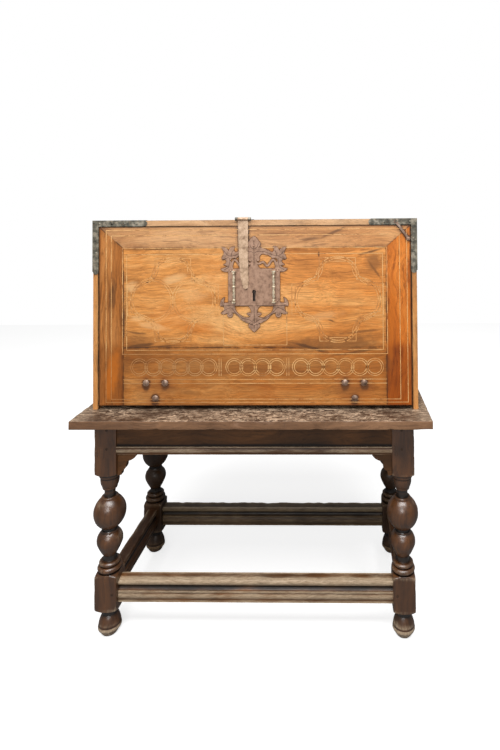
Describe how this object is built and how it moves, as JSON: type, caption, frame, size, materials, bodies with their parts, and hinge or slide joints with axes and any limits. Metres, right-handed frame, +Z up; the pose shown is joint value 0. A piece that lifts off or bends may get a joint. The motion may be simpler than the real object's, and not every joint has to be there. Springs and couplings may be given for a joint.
{
  "type": "fall-front cabinet on stand",
  "caption": "Fall-front walnut writing cabinet with inlaid stringing and pierced iron lock plate, resting on an oak table stand with turned legs and box stretchers.",
  "frame": {"origin": "on the floor, under the middle of the table top", "axes": "+X to the viewer's right, the front faces -Y, +Z up"},
  "size_m": [1.12, 0.56, 1.3402],
  "materials": {
    "stand_oak": "dark brown waxed oak with red-brown highlights, worn on the edges",
    "case_walnut": "orange-brown waxed walnut with dark streaks",
    "fall_walnut": "orange-brown walnut with pale stringing let in flush",
    "drawer_wood": "plain brown walnut and pine",
    "knob_bone": "polished turned bone",
    "dark_iron": "dark grey-green wrought iron",
    "plate_iron": "purple-brown rusted sheet iron",
    "bar_iron": "rubbed grey-yellow iron",
    "hasp_iron": "tan-brown rusted iron"
  },
  "bodies": {
    "case_and_stand": {"table_top": "stand_oak", "leg_front_left": "stand_oak", "leg_front_right": "stand_oak", "leg_back_left": "stand_oak", "leg_back_right": "stand_oak", "apron_front": "stand_oak", "apron_back": "stand_oak", "apron_left": "stand_oak", "apron_right": "stand_oak", "apron_brackets": "stand_oak", "stretcher_front": "stand_oak", "stretcher_back": "stand_oak", "stretcher_left": "stand_oak", "stretcher_right": "stand_oak", "tenon_pegs": "stand_oak", "case_top": "case_walnut", "case_bottom": "case_walnut", "case_left_side": "case_walnut", "case_right_side": "case_walnut", "case_back": "case_walnut", "partition_left": "drawer_wood", "partition_right": "drawer_wood", "drawer_shelves": "drawer_wood", "drawer_left_1": "drawer_wood", "drawer_left_2": "drawer_wood", "drawer_left_3": "drawer_wood", "drawer_left_4": "drawer_wood", "drawer_centre_1": "drawer_wood", "drawer_centre_2": "drawer_wood", "drawer_centre_3": "drawer_wood", "drawer_right_1": "drawer_wood", "drawer_right_2": "drawer_wood", "drawer_right_3": "drawer_wood", "drawer_right_4": "drawer_wood", "drawer_knobs": "knob_bone", "case_hinge_leaves": "dark_iron", "hinge_pins": "dark_iron", "hasp_top_strap": "dark_iron", "hasp_pin": "dark_iron", "corner_mount_left": "dark_iron", "corner_mount_right": "dark_iron", "case_nails": "dark_iron", "handle_eyes": "dark_iron", "handle_roses": "dark_iron"},
    "fall": {"fall_panel": "fall_walnut", "fall_stile_left": "fall_walnut", "fall_stile_right": "fall_walnut", "fall_top_rail": "fall_walnut", "fall_hinge_straps": "dark_iron", "hinge_studs": "dark_iron", "lock_plate": "plate_iron", "lock_columns": "bar_iron", "lock_case": "dark_iron", "hook_collar": "dark_iron", "fall_nails": "dark_iron"},
    "hasp": {"hasp": "hasp_iron"},
    "bolt": {"lock_bolt": "dark_iron"},
    "hook": {"corner_hook": "dark_iron"},
    "bail_left": {"handle_left": "dark_iron"},
    "bail_right": {"handle_right": "dark_iron"}
  },
  "joints": [
    {"name": "fall_hinge", "type": "hinge", "parent": "case_and_stand", "child": "fall", "pos_m": [0, -0.168, 0.7385], "axis": [1, 0, 0], "range_deg": [0, 90]},
    {"name": "hasp_swing", "type": "hinge", "parent": "fall", "child": "hasp", "pos_m": [-0.035, -0.1905, 1.33466], "axis": [-1, 0, 0], "range_deg": [0, 255]},
    {"name": "bolt_slide", "type": "slide", "parent": "fall", "child": "bolt", "axis": [-1, 0, 0], "range_m": [0, 0.012]},
    {"name": "hook_swing", "type": "hinge", "parent": "fall", "child": "hook", "pos_m": [0.503, -0.188, 1.268], "axis": [0, -1, 0], "range_deg": [0, 145]},
    {"name": "bail_left_swing", "type": "hinge", "parent": "case_and_stand", "child": "bail_left", "pos_m": [-0.545, 0.034, 1.088], "axis": [0, 1, 0], "range_deg": [0, 175]},
    {"name": "bail_right_swing", "type": "hinge", "parent": "case_and_stand", "child": "bail_right", "pos_m": [0.545, 0.034, 1.088], "axis": [0, -1, 0], "range_deg": [0, 175]}
  ]
}
